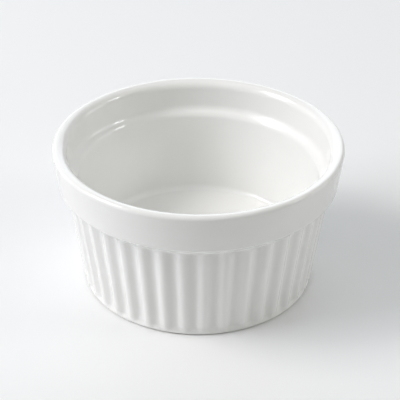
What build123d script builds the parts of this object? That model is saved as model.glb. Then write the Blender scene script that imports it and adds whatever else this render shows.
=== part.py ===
from build123d import *
import os
from math import asin, atan2, cos, hypot, radians, sin, tan

# Driving dimensions of the ramekin, in millimetres and degrees
rim_diameter = 90.0            # over the lip, the widest place
overall_height = 47.3          # table to the top of the lip
lip_outer_round = 1.2          # the lip turns down tightly on the outside
lip_inner_round = 3.0          # and gently into the mouth
collar_depth = 12.35           # top of the lip down to the lower edge of the collar
collar_edge_diameter = 87.3    # collar at its lower edge
collar_edge_round = 1.2        # lower edge of the collar
collar_slope = 3.2             # the underside of the collar slopes down this far to the grooves
collar_root_round = 1.5        # hollow where the slope meets the grooves

wall_foot_diameter = 72.7      # middle of the ribs, carried down to the table
wall_top_diameter = 82.0       # middle of the ribs, at the collar
rib_count = 40
rib_depth = 1.1                # crest of a rib to the bottom of a groove
rib_share = 0.55               # part of one pitch that is rib, the rest is groove
rib_run_out = 1.8              # height over which ribs and grooves fade into the foot
rib_end_round = 1.5            # bends at the upper end of that fade

foot_diameter = 73.8           # plain foot that stands on the table
foot_height = 0.9              # plain band under the ribs
foot_edge_round = 0.7          # lower edges of the foot ring
foot_ring_width = 3.4          # foot ring, from its outside to the hollow
recess_depth = 2.8             # hollow inside the foot ring
recess_round = 1.0             # corner between the foot ring and the hollow

floor_height = 9.8             # table to the inside floor
floor_diameter = 67.8          # inside wall carried down to the floor
floor_round = 2.0              # corner between the floor and the wall
ledge_lower_diameter = 76.0    # inside wall just under the ledge
ledge_upper_diameter = 79.8    # inside wall just above the ledge
ledge_height = 36.5            # table to the foot of the ledge
ledge_rise = 1.4               # height that the step takes
ledge_edge_round = 3.0         # edge where the step starts
ledge_hollow_round = 2.0       # hollow where the step ends

glaze_thickness = 0.3          # fired glaze on the clay
glaze_line = 0.5               # the glaze is wiped off below this height
blend_clearance = 0.02         # keeps a turned form just clear of the ribs it runs into
overrun = 5.0                  # how far a profile runs past the clay

# Sizes that follow from the driving dimensions
lip_top_radius = rim_diameter / 2 - lip_outer_round
collar_underside = overall_height - collar_depth
collar_edge = Vector(collar_edge_diameter / 2, collar_underside)
collar_root = collar_underside - collar_slope
wall_foot_radius = wall_foot_diameter / 2
wall_slope = (wall_top_diameter / 2 - wall_foot_radius) / collar_underside
rib_pitch = 360 / rib_count
rib_end = foot_height + rib_run_out
foot_radius = foot_diameter / 2
recess_radius = foot_radius - foot_ring_width
ledge_top = Vector(ledge_upper_diameter / 2, ledge_height + ledge_rise)


def wall_radius(height):
    """Radius of the fluted wall, half way between crest and groove."""
    return wall_foot_radius + wall_slope * height


def crest_corner(height):
    """Point just outside the crests."""
    return (wall_radius(height) + rib_depth / 2 + blend_clearance, height)


def groove_corner(height):
    """Point just inside the bottoms of the grooves."""
    return (wall_radius(height) - rib_depth / 2 - blend_clearance, height)


def lip_corner(start, bend, side):
    """Where the line from start that grazes a round of the lip, on one side, meets its top."""
    reach = Vector(lip_top_radius, overall_height - bend) - start
    lean = atan2(reach.X, reach.Y) + side * asin(bend / hypot(reach.X, reach.Y))
    return (start.X + (overall_height - start.Y) * tan(lean), overall_height)


def polar(radius, angle):
    return (radius * cos(radians(angle)), radius * sin(radians(angle)))


def turned_form(corners, rounds, grow, limit=0):
    """Solid of revolution from a profile, drawn past the axis, grown, and trimmed at a radius."""
    with BuildPart() as form:
        with BuildSketch(Plane.XZ):
            with BuildLine():
                FilletPolyline(*corners, radius=rounds, close=True)
            make_face()
            if grow:
                offset(amount=grow, mode=Mode.REPLACE)
            split(bisect_by=Plane.YZ, keep=Keep.TOP)
            if limit:
                split(bisect_by=Plane.YZ.offset(limit), keep=Keep.BOTTOM)
        revolve(axis=Axis.Z)
    return form.part


def flute_section(height, inset):
    """Outline of ribs and grooves at a height, as arcs that run smoothly into each other."""
    crest_radius = wall_radius(height) + rib_depth / 2 - inset
    groove_radius = crest_radius - rib_depth
    turn_radius = crest_radius - rib_depth * rib_share
    half_rib = rib_pitch * rib_share / 2
    with BuildSketch(Plane.XY.offset(height)) as section:
        with BuildLine():
            for rib in range(rib_count):
                middle = rib * rib_pitch
                ThreePointArc(
                    polar(turn_radius, middle - half_rib),
                    polar(crest_radius, middle),
                    polar(turn_radius, middle + half_rib),
                )
                ThreePointArc(
                    polar(turn_radius, middle + half_rib),
                    polar(groove_radius, middle + rib_pitch / 2),
                    polar(turn_radius, middle + rib_pitch - half_rib),
                )
        make_face()
    return section.sketch.face()


def ribs_form(inset):
    """Forty ribs lofted from table to collar, held inside a cone that fades them into the foot."""
    inside_foot = foot_radius - blend_clearance
    fade = [
        (-overrun, foot_height / 2),
        (inside_foot, foot_height / 2),
        (inside_foot, foot_height),
        crest_corner(rib_end),
        crest_corner(collar_underside + overrun),
        (-overrun, collar_underside + overrun),
    ]
    with BuildPart() as ribs:
        loft([flute_section(0, inset), flute_section(collar_underside, inset)], ruled=True)
        add(turned_form(fade, [0, 0, 0, rib_end_round, 0, 0], -inset), mode=Mode.INTERSECT)
    return ribs.part


def turned_body(inset):
    """The outside without its ribs: foot, wall at the bottom of the grooves, collar and lip."""
    outside = [
        (-overrun, -inset),
        (foot_radius, -inset),
        (foot_radius, foot_height),
        groove_corner(rib_end),
        groove_corner(collar_root),
        collar_edge,
        lip_corner(collar_edge, lip_outer_round, 1),
        (-overrun, overall_height),
    ]
    rounds = [0, foot_edge_round, 0, rib_end_round, collar_root_round, collar_edge_round, lip_outer_round, 0]
    return turned_form(outside, rounds, -inset)


def cavity_form(inset):
    """The inside: floor, wall, ledge and the inner half of the lip."""
    inside = [
        (-overrun, floor_height),
        (floor_diameter / 2, floor_height),
        (ledge_lower_diameter / 2, ledge_height),
        ledge_top,
        lip_corner(ledge_top, lip_inner_round, -1),
        (rim_diameter / 2 + overrun, overall_height),
        (rim_diameter / 2 + overrun, overall_height + overrun),
        (-overrun, overall_height + overrun),
    ]
    rounds = [0, floor_round, ledge_edge_round, ledge_hollow_round, lip_inner_round, 0, 0, 0]
    return turned_form(inside, rounds, inset, limit=lip_top_radius)


def recess_form(inset):
    """The hollow under the floor, inside the foot ring, flared at its mouth."""
    mouth = recess_radius + foot_edge_round
    hollow = [
        (-overrun, -overrun),
        (mouth + overrun, -overrun),
        (mouth + overrun, -inset),
        (recess_radius, -inset),
        (recess_radius, recess_depth),
        (-overrun, recess_depth),
    ]
    return turned_form(hollow, [0, 0, 0, foot_edge_round, recess_round, 0], inset)


def ramekin_form(inset):
    """The whole ware as one shape: glazed where inset is zero, bare clay inside the glaze."""
    with BuildPart() as ware:
        add(ribs_form(inset))
        add(turned_body(inset))
        add(cavity_form(inset), mode=Mode.SUBTRACT)
        add(recess_form(inset), mode=Mode.SUBTRACT)
    return ware.part


os.makedirs("parts", exist_ok=True)

# Fired clay, with its foot ring bare where it stands
with BuildPart() as ceramic_body:
    add(ramekin_form(glaze_thickness))

# All the glaze: the glazed shape without the clay and without the wiped foot
with BuildPart() as glaze:
    add(ramekin_form(0))
    add(ceramic_body.part, mode=Mode.SUBTRACT)
    with BuildSketch(Plane.XY.offset(-overrun)):
        Circle(rim_diameter / 2)
    extrude(amount=overrun + glaze_line, mode=Mode.SUBTRACT)

# Coat over the outside wall, the collar, the lip and the inside
with BuildPart() as glaze_coat:
    add(glaze.part.solids().sort_by(SortBy.VOLUME)[-1])

# Disc of glaze in the hollow under the floor, cut off by the bare foot ring
with BuildPart() as underside_glaze:
    add(glaze.part.solids().sort_by(SortBy.VOLUME)[0])

ceramic_body.part.label = "ceramic_body"
glaze_coat.part.label = "glaze_coat"
underside_glaze.part.label = "underside_glaze"

export_step(ceramic_body.part, "parts/ceramic_body.step")
export_step(glaze_coat.part, "parts/glaze_coat.step")
export_step(underside_glaze.part, "parts/underside_glaze.step")
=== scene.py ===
from math import asin, atan2, ceil, cos, hypot, pi, radians, sin, tan

import bmesh
import bpy
from mathutils import Matrix, Vector


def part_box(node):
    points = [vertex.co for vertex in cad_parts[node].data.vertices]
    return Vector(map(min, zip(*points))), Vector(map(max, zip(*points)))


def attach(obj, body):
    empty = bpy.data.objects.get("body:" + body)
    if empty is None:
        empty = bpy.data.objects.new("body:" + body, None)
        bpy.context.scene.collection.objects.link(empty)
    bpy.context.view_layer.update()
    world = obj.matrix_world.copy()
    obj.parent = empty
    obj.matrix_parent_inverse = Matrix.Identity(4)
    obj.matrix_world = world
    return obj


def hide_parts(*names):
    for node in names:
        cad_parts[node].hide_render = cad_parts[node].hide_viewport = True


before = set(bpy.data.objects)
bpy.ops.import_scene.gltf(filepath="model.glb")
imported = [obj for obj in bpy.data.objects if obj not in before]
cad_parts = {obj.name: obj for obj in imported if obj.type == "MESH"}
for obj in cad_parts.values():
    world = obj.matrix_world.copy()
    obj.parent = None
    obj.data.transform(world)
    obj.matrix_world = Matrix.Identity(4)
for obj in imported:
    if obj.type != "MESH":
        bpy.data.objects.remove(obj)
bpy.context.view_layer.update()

# Sizes, in metres. The frame gives the outer ones, and the rest are the clay's own
MM = 0.001
coat_low, coat_high = map(Vector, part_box("glaze_coat"))
disc_high = Vector(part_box("underside_glaze")[1])
rim_radius = coat_high.x
overall_height = coat_high.z
glaze_line = coat_low.z                  # the glaze is wiped off below this height
glaze_thickness = 0.3 * MM

# Collar and lip
lip_outer_round = 1.2 * MM
lip_inner_round = 3.0 * MM
collar_depth = 12.2 * MM
collar_edge_radius = 43.65 * MM
collar_edge_round = 1.2 * MM
collar_slope = 3.2 * MM                  # the underside slopes down this far to the grooves
collar_root_round = 1.5 * MM
collar_underside = overall_height - collar_depth
collar_root = collar_underside - collar_slope
collar_edge = Vector((collar_edge_radius, 0, collar_underside))

# Foot and fluted wall
foot_radius = 36.9 * MM
foot_height = 0.9 * MM
wall_foot_radius = 36.35 * MM            # middle of the ribs, carried down to the table
wall_top_radius = 41.0 * MM              # middle of the ribs, at the collar
rib_count = 40
rib_depth = 1.1 * MM
rib_share = 0.55                         # part of one pitch that is rib
rib_run_out = 1.8 * MM                   # height over which the ribs fade into the foot
rib_end_round = 1.5 * MM
rib_end = foot_height + rib_run_out
skin_clearance = 0.02 * MM
skin_depth = 1.0 * MM                    # outside skin lies within this of the mean wall

# Glaze that pools where the ribs end
foot_pool = 0.7 * MM                     # how far it rounds the corners at the foot
foot_pool_reach = 4.0 * MM               # and how far that reaches up the grooves
collar_pool = 0.6 * MM                   # the same under the collar, on the crests
collar_pool_reach = 2.0 * MM
groove_pool_share = 0.2                  # part of it that the grooves get under the collar

# Inside
floor_height = 9.8 * MM
floor_radius = 33.9 * MM
floor_round = 2.0 * MM
ledge_lower_radius = 37.95 * MM
ledge_upper_radius = 40.0 * MM
ledge_height = 36.3 * MM
ledge_rise = 1.9 * MM
ledge_edge_round = 3.4 * MM
ledge_hollow_round = 3.2 * MM
ledge_top = Vector((ledge_upper_radius, 0, ledge_height + ledge_rise))

# Hollow inside the foot ring
recess_radius = disc_high.x - glaze_thickness
recess_depth = disc_high.z - glaze_thickness
recess_round = 1.0 * MM

# How finely the turned forms are divided
arc_step = radians(10)
steps_per_rib = 12
steps_around = rib_count * steps_per_rib
row_step = 1.6 * MM                      # rows up the ribbed wall
end_row_step = 0.3 * MM                  # rows where the ribs run out
merge_distance = MM / 1000


def wall_radius(height):
    """Radius of the fluted wall, half way between crest and groove."""
    share = height / collar_underside
    return wall_foot_radius + (wall_top_radius - wall_foot_radius) * share


def groove_radius(height):
    """Radius at the bottom of the grooves."""
    return wall_radius(height) - rib_depth / 2 - skin_clearance


def lip_corner(start, bend, side):
    """Where the line from start that grazes a round of the lip, on one side, meets its top."""
    centre = Vector((rim_radius - lip_outer_round, 0, overall_height - bend))
    reach = centre - start
    lean = atan2(reach.x, reach.z) + side * asin(bend / hypot(reach.x, reach.z))
    return start.x + (overall_height - start.z) * tan(lean)


def line_to(mesh, tip, place):
    """Runs the outline straight on from its tip."""
    if (place - tip.co).length < merge_distance:
        return tip
    new_tip = bmesh.ops.extrude_vert_indiv(mesh, verts=[tip])["verts"][0]
    bmesh.ops.translate(mesh, verts=[new_tip], vec=place - tip.co)
    return new_tip


def draw_outline(mesh, corners):
    """Draws half a section as a wire through (radius, height, round) corners."""
    points = [Vector((radius, 0, height)) for radius, height, _ in corners]
    tip = bmesh.ops.create_vert(mesh, co=points[0])["vert"][0]
    for index in range(1, len(points) - 1):
        bend = corners[index][2]
        arrive = (points[index] - points[index - 1]).normalized()
        leave = (points[index + 1] - points[index]).normalized()
        turn = arrive.angle(leave)
        tip = line_to(mesh, tip, points[index] - arrive * bend * tan(turn / 2))
        if bend:
            axis = arrive.cross(leave).normalized()
            arc = bmesh.ops.spin(
                mesh, geom=[tip], cent=tip.co + axis.cross(arrive) * bend,
                axis=axis, dvec=(0, 0, 0), angle=turn, steps=ceil(turn / arc_step),
            )
            tip = arc["geom_last"][0]
    line_to(mesh, tip, points[-1])


def turn_round(mesh):
    """Turns the outline on the wheel into a closed-round skin."""
    bmesh.ops.spin(
        mesh, geom=mesh.verts[:] + mesh.edges[:], cent=(0, 0, 0), axis=(0, 0, 1),
        dvec=(0, 0, 0), angle=2 * pi, steps=steps_around, use_merge=True,
    )
    bmesh.ops.remove_doubles(mesh, verts=mesh.verts[:], dist=merge_distance)


def rib_rise(angle):
    """Height of the ribs over the mean wall: arcs of rib and groove that run smoothly on."""
    pitch = angle * rib_count / (2 * pi)
    off_crest = abs(pitch - round(pitch))
    half_rib = rib_share / 2
    if off_crest < half_rib:
        return rib_depth * (0.5 - rib_share * (off_crest / half_rib) ** 2)
    off_groove = (0.5 - off_crest) / (0.5 - half_rib)
    return rib_depth * ((1 - rib_share) * off_groove ** 2 - 0.5)


def on_ribbed_wall(place):
    """Whether a place on the skin lies outside, between the plain foot and the collar."""
    outside = hypot(place.x, place.y) > wall_radius(place.z) - skin_depth
    return outside and foot_height - merge_distance < place.z < collar_underside


def add_rows(mesh):
    """Divides the outline up the ribbed wall, most finely where the ribs end."""
    for edge in mesh.edges[:]:
        ends = [vert.co for vert in edge.verts]
        middle = (ends[0] + ends[1]) / 2
        near_end = middle.z < rib_end or middle.z > collar_root - collar_root_round
        cuts = ceil(edge.calc_length() / (end_row_step if near_end else row_step)) - 1
        if cuts and all(map(on_ribbed_wall, ends)):
            bmesh.ops.subdivide_edges(mesh, edges=[edge], cuts=cuts)


def pool_depth(height, crest_share):
    """How far glaze rounds the corners: most where the ribs end, none past that."""
    above_foot = (height - foot_height) / rib_run_out
    below_collar = (collar_underside - height) / collar_slope
    if above_foot < below_collar:
        past_end = max(0, height - rib_end) / foot_pool_reach
        return foot_pool * min(1, above_foot) * max(0, 1 - past_end) ** 2
    past_end = max(0, collar_root - height) / collar_pool_reach
    pool = collar_pool * (groove_pool_share + (1 - groove_pool_share) * crest_share)
    return pool * min(1, below_collar) * max(0, 1 - past_end) ** 2


def flute(mesh):
    """Raises the ribs on the outside wall, with glaze pooled where they meet foot and collar."""
    crest_at_end = wall_radius(rib_end) + rib_depth / 2
    for vert in mesh.verts:
        height = vert.co.z
        if height < foot_height + merge_distance or not on_ribbed_wall(vert.co):
            continue
        turned = hypot(vert.co.x, vert.co.y)
        rise = rib_rise(atan2(vert.co.y, vert.co.x))
        pool = pool_depth(height, 0.5 + rise / rib_depth)
        ribbed = wall_radius(height) + rise
        if height < rib_end:
            fade = (height - foot_height) / rib_run_out
            cone = foot_radius + (crest_at_end - foot_radius) * fade
            ribbed = (ribbed + cone - hypot(ribbed - cone, pool)) / 2
        ribbed = (ribbed + turned + hypot(ribbed - turned, pool)) / 2
        vert.co.xy *= ribbed / turned


def glaze_piece(name, corners, node, ribbed=False):
    """A skin of glaze turned from its outside outline, with its thickness towards the clay."""
    mesh = bmesh.new()
    draw_outline(mesh, corners)
    if ribbed:
        add_rows(mesh)
    turn_round(mesh)
    if ribbed:
        flute(mesh)
    bmesh.ops.recalc_face_normals(mesh, faces=mesh.faces[:])
    for face in mesh.faces:
        face.smooth = True
    data = bpy.data.meshes.new(name)
    mesh.to_mesh(data)
    mesh.free()
    piece = bpy.data.objects.new(name, data)
    bpy.context.collection.objects.link(piece)
    wall = piece.modifiers.new("glaze_wall", "SOLIDIFY")
    wall.thickness = glaze_thickness
    wall.offset = -1
    wall.use_even_offset = True
    shade = piece.modifiers.new("even_shading", "WEIGHTED_NORMAL")
    shade.keep_sharp = True
    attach(piece, "root")
    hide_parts(node)
    return piece


# Coat of glaze over the outside, the lip and the inside
coat = glaze_piece(
    "fluted_glaze",
    [
        (foot_radius, glaze_line, 0),
        (foot_radius, foot_height, 0),
        (groove_radius(rib_end), rib_end, rib_end_round),
        (groove_radius(collar_root), collar_root, collar_root_round),
        (collar_edge_radius, collar_underside, collar_edge_round),
        (lip_corner(collar_edge, lip_outer_round, 1), overall_height, lip_outer_round),
        (lip_corner(ledge_top, lip_inner_round, -1), overall_height, lip_inner_round),
        (ledge_top.x, ledge_top.z, ledge_hollow_round),
        (ledge_lower_radius, ledge_height, ledge_edge_round),
        (floor_radius, floor_height, floor_round),
        (0, floor_height, 0),
    ],
    "glaze_coat",
    ribbed=True,
)

# Disc of glaze in the hollow inside the foot ring
disc = glaze_piece(
    "underside_disc",
    [
        (recess_radius, glaze_line, 0),
        (recess_radius, recess_depth, recess_round),
        (0, recess_depth, 0),
    ],
    "underside_glaze",
)

# Finishes. Noise stays near the middle of its range, so only these parts of it are spread out
noise_middle = (0.3, 0.7)
cloud_middle = (0.35, 0.65)
glaze_colours = ((0.865, 0.868, 0.852), (0.885, 0.885, 0.875))
glaze_roughness = (0.06, 0.11)
glaze_refraction = 1.5
ripple_depth = 0.05 * MM                 # waviness of the glaze
orange_peel_depth = 0.0025 * MM          # and its finer unevenness
clay_colours = ((0.74, 0.715, 0.67), (0.83, 0.81, 0.77))
clay_roughness = (0.72, 0.9)
clay_grain_depth = 0.03 * MM
table_colour = (0.87, 0.878, 0.884)
table_roughness = 0.8


def new_finish(name):
    """A material with its shader, and a coordinate node in the object's own frame."""
    finish = bpy.data.materials.new(name)
    finish.use_nodes = True
    nodes = finish.node_tree.nodes
    shader = nodes["Principled BSDF"]
    place = nodes.new("ShaderNodeTexCoord").outputs["Object"]
    return finish, shader, place


def mottle(finish, place, per_metre, detail, roughness=0.5):
    """Cloudy noise with so many patches a metre."""
    noise = finish.node_tree.nodes.new("ShaderNodeTexNoise")
    noise.inputs["Scale"].default_value = per_metre
    noise.inputs["Detail"].default_value = detail
    noise.inputs["Roughness"].default_value = roughness
    finish.node_tree.links.new(place, noise.inputs["Vector"])
    return noise.outputs["Fac"]


def between(finish, factor, read, given=(0, 1)):
    """Maps a factor from the range that is read to the range that is given."""
    ranged = finish.node_tree.nodes.new("ShaderNodeMapRange")
    for socket, value in zip(("From Min", "From Max", "To Min", "To Max"), (*read, *given)):
        ranged.inputs[socket].default_value = value
    finish.node_tree.links.new(factor, ranged.inputs["Value"])
    return ranged.outputs["Result"]


def blend_colours(finish, factor, colours):
    """Runs from the first colour to the second by a factor."""
    ramp = finish.node_tree.nodes.new("ShaderNodeValToRGB")
    for element, colour in zip(ramp.color_ramp.elements, colours):
        element.color = (*colour, 1)
    finish.node_tree.links.new(factor, ramp.inputs["Fac"])
    return ramp.outputs["Color"]


def relief(finish, shader, height, depth, under=None):
    """Bump of a real depth in metres, over another one if there is one."""
    bump = finish.node_tree.nodes.new("ShaderNodeBump")
    bump.inputs["Strength"].default_value = 1
    bump.inputs["Distance"].default_value = depth
    finish.node_tree.links.new(height, bump.inputs["Height"])
    if under:
        finish.node_tree.links.new(under, bump.inputs["Normal"])
    finish.node_tree.links.new(bump.outputs["Normal"], shader.inputs["Normal"])
    return bump.outputs["Normal"]


def white_glaze():
    """Glossy white glaze: faint clouds of colour, a soft ripple and uneven gloss."""
    finish, shader, place = new_finish("white_glaze_finish")
    link = finish.node_tree.links.new
    shader.inputs["IOR"].default_value = glaze_refraction
    clouds = between(finish, mottle(finish, place, per_metre=45, detail=3), cloud_middle)
    link(blend_colours(finish, clouds, glaze_colours), shader.inputs["Base Color"])
    patches = mottle(finish, place, per_metre=160, detail=4)
    link(between(finish, patches, noise_middle, glaze_roughness), shader.inputs["Roughness"])
    waves = mottle(finish, place, per_metre=90, detail=2)
    orange_peel = mottle(finish, place, per_metre=900, detail=3)
    relief(finish, shader, orange_peel, orange_peel_depth, relief(finish, shader, waves, ripple_depth))
    return finish


def bare_clay():
    """Fired clay where the glaze was wiped: matt, warm and finely grained."""
    finish, shader, place = new_finish("bare_clay_finish")
    link = finish.node_tree.links.new
    tone = between(finish, mottle(finish, place, per_metre=120, detail=5), noise_middle)
    link(blend_colours(finish, tone, clay_colours), shader.inputs["Base Color"])
    grain = mottle(finish, place, per_metre=5200, detail=3, roughness=0.7)
    link(between(finish, grain, noise_middle, clay_roughness), shader.inputs["Roughness"])
    relief(finish, shader, grain, clay_grain_depth)
    return finish


glaze_finish = white_glaze()
coat.data.materials.append(glaze_finish)
disc.data.materials.append(glaze_finish)
clay_finish = bare_clay()
for material_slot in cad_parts["ceramic_body"].material_slots:
    material_slot.material = clay_finish

# View of the photograph, found by fitting the rim, the collar and the foot
view_heading = radians(-3.02)            # the nearest rib crest stands this far off the middle
view_height = radians(34.714)
view_distance = 8.71477 * rim_radius
view_pan = radians(0.0825)
view_tilt = radians(3.187)
view_roll = radians(0.2985)
frame_pixels = 400
focal_pixels = 1188.47
film_width = 36                          # in millimetres, as the camera counts it
turn_to_view = Matrix.Rotation(view_heading, 3, "Z")


def place_camera():
    """Camera with the place, turn and lens that fit the photograph."""
    data = bpy.data.cameras.new("camera")
    data.sensor_width = film_width
    data.lens = focal_pixels / frame_pixels * film_width
    data.clip_start = rim_radius
    camera = bpy.data.objects.new("camera", data)
    bpy.context.collection.objects.link(camera)
    away = turn_to_view @ Vector((0, -cos(view_height), sin(view_height)))
    right = turn_to_view @ Vector((1, 0, 0))
    up = away.cross(right)
    ahead = (-away + tan(view_pan) * right + tan(view_tilt) * up).normalized()
    right = ahead.cross(up).normalized()
    up = right.cross(ahead)
    rolled_right = cos(view_roll) * right + sin(view_roll) * up
    rolled_up = cos(view_roll) * up - sin(view_roll) * right
    turn = Matrix((rolled_right, rolled_up, -ahead)).transposed()
    camera.matrix_world = Matrix.Translation(away * view_distance) @ turn.to_4x4()
    bpy.context.scene.camera = camera


# Room, in metres. A lamp's size is its width and depth
table_radius = 0.34
lamp_distance = 1.5
pane_size = (0.5, 0.5)
glow_size = (2.0, 1.4)
small_card_size = (0.3, 0.3)
large_card_size = (0.6, 0.6)
fill_size = (1.4, 1.0)
ceiling_size = (1.4, 1.4)
backdrop_colour = (0.85, 0.85, 0.86)
room_light = (0.077, 0.077, 0.067)


def lay_table():
    """Round, matt white table top that the ramekin stands on."""
    mesh = bmesh.new()
    bmesh.ops.create_circle(mesh, cap_ends=True, segments=steps_around, radius=table_radius)
    data = bpy.data.meshes.new("table")
    mesh.to_mesh(data)
    mesh.free()
    table = bpy.data.objects.new("table", data)
    bpy.context.collection.objects.link(table)
    finish = bpy.data.materials.new("table_finish")
    finish.use_nodes = True
    shader = finish.node_tree.nodes["Principled BSDF"]
    shader.inputs["Base Color"].default_value = (*table_colour, 1)
    shader.inputs["Roughness"].default_value = table_roughness
    data.materials.append(finish)


def light_the_room():
    """Pale room: its colour shows behind the object and in gloss, and its soft light is fainter."""
    world = bpy.data.worlds.new("room")
    bpy.context.scene.world = world
    world.use_nodes = True
    nodes, link = world.node_tree.nodes, world.node_tree.links.new
    soft_light = nodes["Background"]
    seen = nodes.new("ShaderNodeBackground")
    seen.inputs["Color"].default_value = (*backdrop_colour, 1)
    soft_light.inputs["Color"].default_value = (*room_light, 1)
    path = nodes.new("ShaderNodeLightPath")
    direct = path.outputs["Is Camera Ray"]
    for other_ray in ("Is Glossy Ray", "Is Transmission Ray"):
        either = nodes.new("ShaderNodeMath")
        either.operation = "MAXIMUM"
        link(direct, either.inputs[0])
        link(path.outputs[other_ray], either.inputs[1])
        direct = either.outputs["Value"]
    choose = nodes.new("ShaderNodeMixShader")
    link(direct, choose.inputs["Fac"])
    link(soft_light.outputs["Background"], choose.inputs[1])
    link(seen.outputs["Background"], choose.inputs[2])
    link(choose.outputs["Shader"], nodes["World Output"].inputs["Surface"])


def softbox(name, size, bearing, height, watts, tint=(1, 1, 1)):
    """Soft lamp aimed at the ramekin. Bearing 0 is the camera's side and 90 the picture's left."""
    data = bpy.data.lights.new(name, "AREA")
    data.shape = "RECTANGLE"
    data.size, data.size_y = size
    data.energy = watts
    data.color = tint
    lamp = bpy.data.objects.new(name, data)
    bpy.context.collection.objects.link(lamp)
    b, h = radians(bearing), radians(height)
    away = turn_to_view @ Vector((-sin(b) * cos(h), -cos(b) * cos(h), sin(h)))
    aim = Vector((0, 0, overall_height / 2))
    lamp.location = aim + away * lamp_distance
    lamp.rotation_euler = away.to_track_quat("Z", "Y").to_euler()


place_camera()
lay_table()
light_the_room()

# A window on the left, white cards on the right, and weak light from the other sides
softbox("window_low_pane", pane_size, bearing=76, height=30, watts=4.4, tint=(1.02, 1.01, 1.09))
softbox("window_near_pane", pane_size, bearing=76, height=46, watts=2.6, tint=(1.0, 1.01, 1.0))
softbox("window_high_pane", pane_size, bearing=92, height=47, watts=6.3, tint=(1.05, 1.01, 0.97))
softbox("window_glow", glow_size, bearing=84, height=20, watts=8.1, tint=(0.94, 0.95, 1.01))
softbox("low_reflector", large_card_size, bearing=260, height=10, watts=2.7, tint=(1.1, 1.07, 1.09))
softbox("side_reflector", small_card_size, bearing=262, height=29, watts=0.4)
softbox("near_reflector", small_card_size, bearing=278, height=29, watts=2.7)
softbox("high_reflector", large_card_size, bearing=285, height=45, watts=0.7, tint=(1.1, 1.1, 0.9))
softbox("front_fill", fill_size, bearing=0, height=45, watts=1.1, tint=(1.1, 1.1, 0.9))
softbox("back_fill", fill_size, bearing=180, height=25, watts=6.0, tint=(0.91, 0.98, 1.08))
softbox("ceiling", ceiling_size, bearing=0, height=85, watts=5.0, tint=(0.99, 1.0, 1.05))

bpy.context.scene.view_settings.view_transform = "Standard"
